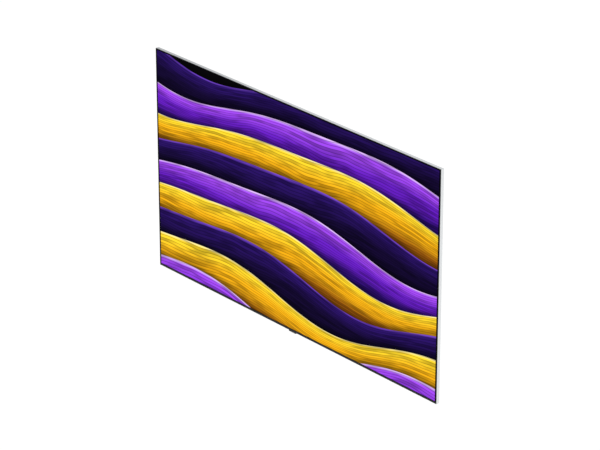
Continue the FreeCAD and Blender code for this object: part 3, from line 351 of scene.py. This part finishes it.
def surface_group():
    """Fine grain, its height, and slow shade changes, shared by every plain finish."""
    graph, given, result = shader_group(
        "surface_grain",
        [("Vector", "NodeSocketVector", None), ("Fine", "NodeSocketFloat", 900.0),
         ("Broad", "NodeSocketFloat", 6.0)],
        [("Grain", "NodeSocketFloat"), ("Pits", "NodeSocketFloat"),
         ("Shade", "NodeSocketFloat")])
    vector = given.outputs["Vector"]
    grain = graph.noise(vector, given.outputs["Fine"], 3.0, 0.6)
    cells = graph.add("ShaderNodeTexVoronoi", feature="SMOOTH_F1")
    graph.feed(cells.inputs["Vector"], vector)
    graph.feed(cells.inputs["Scale"], graph.math("MULTIPLY", given.outputs["Fine"], 0.6))
    graph.feed(result.inputs["Grain"], graph.span(grain, 0.25, 0.75, smooth=False))
    graph.feed(result.inputs["Pits"], graph.span(cells.outputs["Distance"], 0.0, 0.6))
    graph.feed(result.inputs["Shade"],
               graph.span(graph.noise(vector, given.outputs["Broad"], 3.0), 0.3, 0.7))
    return graph.tree


def lines_group():
    """Straight conductors side by side at one pitch."""
    graph, given, result = shader_group(
        "conductor_lines",
        [("Position", "NodeSocketFloat", 0.0), ("Pitch", "NodeSocketFloat", 0.001)],
        [("Line", "NodeSocketFloat")])
    share = graph.math("DIVIDE", given.outputs["Position"], given.outputs["Pitch"])
    graph.feed(result.inputs["Line"], graph.span(graph.math("PINGPONG", share, 0.5), 0.18, 0.3))
    return graph.tree


def circuit_group():
    """Copper runs under the lacquer, and tinned solder pads."""
    graph, given, result = shader_group(
        "circuit_runs", [("Vector", "NodeSocketVector", None)],
        [("Run", "NodeSocketFloat"), ("Pad", "NodeSocketFloat")])
    parts = graph.add("ShaderNodeSeparateXYZ")
    graph.feed(parts.inputs[0], given.outputs["Vector"])
    level, upright = (graph.span(graph.math("PINGPONG", graph.math("MULTIPLY", parts.outputs[axis],
                                                                   420.0), 0.5), 0.3, 0.36)
                      for axis in "ZX")
    region = graph.math("GREATER_THAN", graph.noise(given.outputs["Vector"], 45.0, 0.0), 0.5)
    turned = graph.math("SUBTRACT", 1.0, region)
    run = graph.math("ADD", graph.math("MULTIPLY", level, region),
                     graph.math("MULTIPLY", upright, turned))
    quiet = graph.span(graph.noise(given.outputs["Vector"], 70.0, 1.0), 0.42, 0.46)
    spots = graph.add("ShaderNodeTexVoronoi", feature="F1")
    graph.feed(spots.inputs["Vector"], given.outputs["Vector"])
    spots.inputs["Scale"].default_value = 210.0
    spots.inputs["Randomness"].default_value = 0.45
    graph.feed(result.inputs["Run"], graph.math("MULTIPLY", run, quiet))
    graph.feed(result.inputs["Pad"], graph.span(spots.outputs["Distance"], 0.13, 0.17, 1.0, 0.0))
    return graph.tree


GRAIN = surface_group()
LINES = lines_group()
CIRCUIT = circuit_group()
EVEN = (1.0, 1.0, 1.0)
PLATED = 0.000002
DRAWN_LEVEL = (0.012, 1.0, 1.0)
DRAWN_UPRIGHT = (1.0, 1.0, 0.012)


def finish(name, dark, light, metallic, rough, fine=900.0, depth=0.00002, stretch=EVEN,
           broad=6.0, specular=0.5):
    """A plain finish: colour and roughness follow its grain, and the grain stands in relief."""
    material, graph, shader, place = new_material(name)
    mapping = graph.add("ShaderNodeMapping")
    mapping.inputs["Scale"].default_value = stretch
    graph.feed(mapping.inputs["Vector"], place)
    grain = graph.add("ShaderNodeGroup", node_tree=GRAIN)
    graph.feed(grain.inputs["Vector"], mapping.outputs[0])
    grain.inputs["Fine"].default_value = fine
    grain.inputs["Broad"].default_value = broad
    mottle = graph.math("MULTIPLY_ADD", grain.outputs["Grain"], 0.5,
                        graph.math("MULTIPLY", grain.outputs["Shade"], 0.5))
    graph.feed(shader.inputs["Base Color"], graph.mix(mottle, tone(dark), tone(light)))
    graph.feed(shader.inputs["Roughness"], graph.span(grain.outputs["Grain"], 0.0, 1.0, *rough))
    shader.inputs["Metallic"].default_value = metallic
    shader.inputs["Specular IOR Level"].default_value = specular
    bump = graph.add("ShaderNodeBump")
    bump.inputs["Distance"].default_value = depth
    relief = grain.outputs["Grain"] if stretch != EVEN else grain.outputs["Pits"]
    graph.feed(bump.inputs["Height"], relief)
    graph.feed(shader.inputs["Normal"], bump.outputs[0])
    return material


def lined(name, axis, pitch, gap, line, metallic, rough):
    """Film or flat cable with conductors showing through it."""
    material, graph, shader, place = new_material(name)
    parts = graph.add("ShaderNodeSeparateXYZ")
    graph.feed(parts.inputs[0], place)
    lines = graph.add("ShaderNodeGroup", node_tree=LINES)
    graph.feed(lines.inputs["Position"], parts.outputs[axis])
    lines.inputs["Pitch"].default_value = pitch
    grain = graph.add("ShaderNodeGroup", node_tree=GRAIN)
    graph.feed(grain.inputs["Vector"], place)
    grain.inputs["Broad"].default_value = 60.0
    cloud = graph.span(grain.outputs["Shade"], 0.0, 1.0, 0.85, 1.0)
    colour = graph.mix(lines.outputs["Line"], tone(gap), tone(line))
    graph.feed(shader.inputs["Base Color"],
               graph.mix(1.0, colour, graph.vector(cloud, cloud, cloud), "MULTIPLY"))
    graph.feed(shader.inputs["Roughness"], graph.span(cloud, 0.85, 1.0, *rough))
    shader.inputs["Metallic"].default_value = metallic
    bump = graph.add("ShaderNodeBump")
    bump.inputs["Distance"].default_value = 0.00005
    graph.feed(bump.inputs["Height"], lines.outputs["Line"])
    graph.feed(shader.inputs["Normal"], bump.outputs[0])
    return material


def circuit(name, lacquer, run, pad):
    """Board laminate with its copper runs and solder pads."""
    material, graph, shader, place = new_material(name)
    runs = graph.add("ShaderNodeGroup", node_tree=CIRCUIT)
    graph.feed(runs.inputs["Vector"], place)
    colour = graph.mix(runs.outputs["Run"], tone(lacquer), tone(run))
    colour = graph.mix(runs.outputs["Pad"], colour, tone(pad))
    graph.feed(shader.inputs["Base Color"], colour)
    graph.feed(shader.inputs["Metallic"], runs.outputs["Pad"])
    graph.feed(shader.inputs["Roughness"], graph.span(runs.outputs["Pad"], 0.0, 1.0, 0.42, 0.28))
    bump = graph.add("ShaderNodeBump")
    bump.inputs["Distance"].default_value = 0.00006
    graph.feed(bump.inputs["Height"], graph.math("ADD", runs.outputs["Run"],
                                                 runs.outputs["Pad"]))
    graph.feed(shader.inputs["Normal"], bump.outputs[0])
    return material


def paint(nodes, material):
    for node in nodes.split():
        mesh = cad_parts[node].data
        mesh.materials.clear()
        mesh.materials.append(material)


paint("display_glass", screen_material())
paint("panel_foam_tape", finish("foam", "1C1C1D", "2B2B2C", 0, (0.85, 0.98), 1400, 0.0002))
paint("support_plate", finish("plate_aluminium", "B4B6B8", "CBCDCE", 1, (0.3, 0.46), 700,
                              0.00001, DRAWN_LEVEL))
paint("edge_rim lower_trim",
      finish("dark_rim", "151618", "202123", 0.1, (0.42, 0.58), 2200, specular=0.15))
# The four bars are one aluminium, given two tones for how light falls on them: painted shade
# darkens the top and bottom bars, and a painted highlight lightens the side bars.
paint("top_frame_bar bottom_frame_bar",
      finish("frame_aluminium_level_painted_shade", "9C9EA0", "B6B8BA", 1, (0.3, 0.46), 900, 0.00001,
             DRAWN_LEVEL, 1.0))
paint("left_frame_bar right_frame_bar",
      finish("frame_aluminium_upright_painted_highlight", "D4D6D8", "E6E8E8", 1, (0.3, 0.46), 900, 0.00001,
             DRAWN_UPRIGHT, 1.0))
paint("corner_brackets", finish("die_cast", "9A9C9E", "B5B7B9", 1, (0.45, 0.65), 600, 0.0001))
paint("cover_screws pan_screws corner_screws",
      finish("screw_black", "2A2A2C", "38383B", 0.8, (0.3, 0.45), 3000, PLATED))
paint("board_screws speaker_screws sensor_screws",
      finish("screw_zinc", "B2B2AB", "C5C5BE", 1, (0.24, 0.38), 3000, PLATED))
paint("middle_rear_cover left_rear_cover right_rear_cover jack_bay_cover power_bay_cover",
      finish("cover_plastic", "47484B", "56575A", 0, (0.5, 0.68), 1500, 0.00008, EVEN, 3.0, 0.4))
paint("jack_bay_tray power_bay_tray",
      finish("tray_plastic", "434447", "505155", 0, (0.55, 0.72), 1500, 0.00006))
paint("mount_pan", finish("pan_paint", "4A4B4E", "5B5C60", 0.1, (0.42, 0.62), 420, 0.00012))
paint("mount_plate jack_plate inlet_plate timing_shield",
      finish("zinc_steel", "A2A5A6", "C4C6C6", 1, (0.25, 0.5), 60, 0.00001, EVEN, 20.0))
paint("vesa_inserts", finish("insert_steel", "B6B4AA", "C6C4B9", 1, (0.22, 0.36), 3000, PLATED))
paint("cover_standoffs board_standoffs",
      finish("standoff_brass", "BC9648", "D2B060", 1, (0.22, 0.34), 3000, PLATED))
paint("hdmi_sockets usb_sockets lan_socket antenna_sockets",
      finish("socket_nickel", "C2C0B9", "CFCDC5", 1, (0.18, 0.28), 1800, PLATED))
paint("optical_socket mains_inlet",
      finish("socket_black", "18181A", "262628", 0, (0.4, 0.55), 2200))
paint("main_board timing_board source_boards sensor_board wireless_module",
      circuit("board_green", "0E4A26", "1C7040", "C9C8C0"))
paint("power_board", circuit("board_cream", "C0A468", "A88A4C", "C9C8C0"))
paint("board_chips", finish("chip_black", "1E1E20", "2C2C2F", 0, (0.5, 0.7), 2600))
paint("main_heat_sink power_heat_sinks",
      finish("sink_aluminium", "A5A7A9", "C2C4C6", 1, (0.3, 0.5), 800, 0.00002, DRAWN_UPRIGHT))
paint("transformers input_filter",
      finish("ferrite", "4A4640", "66605A", 0, (0.6, 0.85), 900, 0.0001))
paint("power_capacitors", finish("capacitor_sleeve", "141A38", "212B58", 0, (0.18, 0.3), 500))
paint("panel_flexes", lined("flex_amber", "X", 0.0012, "8A4A0E", "C07A2A", 0, (0.22, 0.34)))
paint("flat_cables", lined("cable_white", "Z", 0.001, "D6D5CF", "BDBFC2", 0, (0.4, 0.55)))
paint("power_harness", finish("harness_black", "1A1A1B", "2A2A2C", 0, (0.55, 0.75), 1200, 0.0001))
paint("speakers woofers",
      finish("speaker_black", "1D1D1F", "2A2A2D", 0, (0.5, 0.7), 1600, 0.00006))
paint("speaker_cushions", finish("cushion_rubber", "202021", "2D2D2E", 0, (0.75, 0.9), 1000,
                                 0.0001))
paint("sensor_housing power_button microphone_switch",
      finish("housing_black", "19191B", "252528", 0, (0.3, 0.44), 2400))
paint("sensor_window", finish("window_dark", "14060A", "1E080E", 0, (0.08, 0.14), 400, 0.00001))

# ------------------------------------------------------------------ softened edges

SHARP = math.radians(40)


def soften(nodes, width):
    """Round off the hard edges of formed metal and moulded plastic."""
    for node in nodes.split():
        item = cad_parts[node]
        weld = item.modifiers.new("joined", "WELD")
        weld.merge_threshold = 0.000002
        bevel = item.modifiers.new("soft_edge", "BEVEL")
        bevel.width = width
        bevel.segments = 2
        bevel.limit_method = "ANGLE"
        bevel.angle_limit = SHARP
        bevel.use_clamp_overlap = True


soften("top_frame_bar bottom_frame_bar left_frame_bar right_frame_bar", 0.00035)
soften("lower_trim sensor_housing mount_pan", 0.0004)

# ------------------------------------------------------------------ contacts in the sockets

MM = 0.001
GILT = finish("contact_gilt", "CEA044", "DCB458", 1, (0.16, 0.26), 3000, PLATED)


def contact_strips(name, node, heights, across, places, length, setback, tilt):
    """Spring contacts in a row of sockets.

    across is the socket's depth along Y, and places are (along Y, along Z) from its middle."""
    low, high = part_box(node)
    form = bmesh.new()
    for height in heights:
        for beside, along in places:
            strip = bmesh.ops.create_cube(form, size=1.0)["verts"]
            bmesh.ops.scale(form, verts=strip, vec=(length * MM, 0.12 * MM, 0.5 * MM))
            bmesh.ops.rotate(form, verts=strip, cent=(0, 0, 0),
                             matrix=Matrix.Rotation(math.radians(tilt), 3, "Z"))
            bmesh.ops.translate(form, verts=strip, vec=(
                high[0] - (setback + length / 2) * MM, low[1] + (across / 2 + beside) * MM,
                (height + along) * MM))
    bmesh.ops.bevel(form, geom=form.edges[:], offset=0.03 * MM, offset_type="OFFSET",
                    affect="EDGES", segments=1, profile=0.5, material=-1)
    mesh = bpy.data.meshes.new(name)
    form.to_mesh(mesh)
    form.free()
    mesh.materials.append(GILT)
    piece = bpy.data.objects.new(name, mesh)
    bpy.context.scene.collection.objects.link(piece)
    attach(piece, SET)


def both_faces(offset, count, pitch):
    """A row of places on each face of a contact tongue."""
    return [(side * offset, (index - (count - 1) / 2) * pitch)
            for side in (-1, 1) for index in range(count)]


contact_strips("hdmi_contacts", "hdmi_sockets", (-45, -70, -95, -120), 5.9,
               both_faces(0.74, 9, 1.1), 8.0, 2.4, 0)
contact_strips("usb_contacts", "usb_sockets", (35, 12, -11), 5.8,
               [(-0.94, (index - 1.5) * 2.2) for index in range(4)], 7.5, 2.4, 0)
contact_strips("lan_contacts", "lan_socket", (-150,), 11.5,
               [(-2.2, (index - 3.5) * 1.02) for index in range(8)], 11.5, 3.0, -18)

# ------------------------------------------------------------------ setting the scene

add_camera()
add_stage()
add_light("key", 20, 55, 6, 4, 60)
add_light("side", 110, 35, 6, 4, 45)
add_light("back", 214, 34, 4.3, 2.4, 12)
bpy.context.scene.view_settings.view_transform = "Standard"
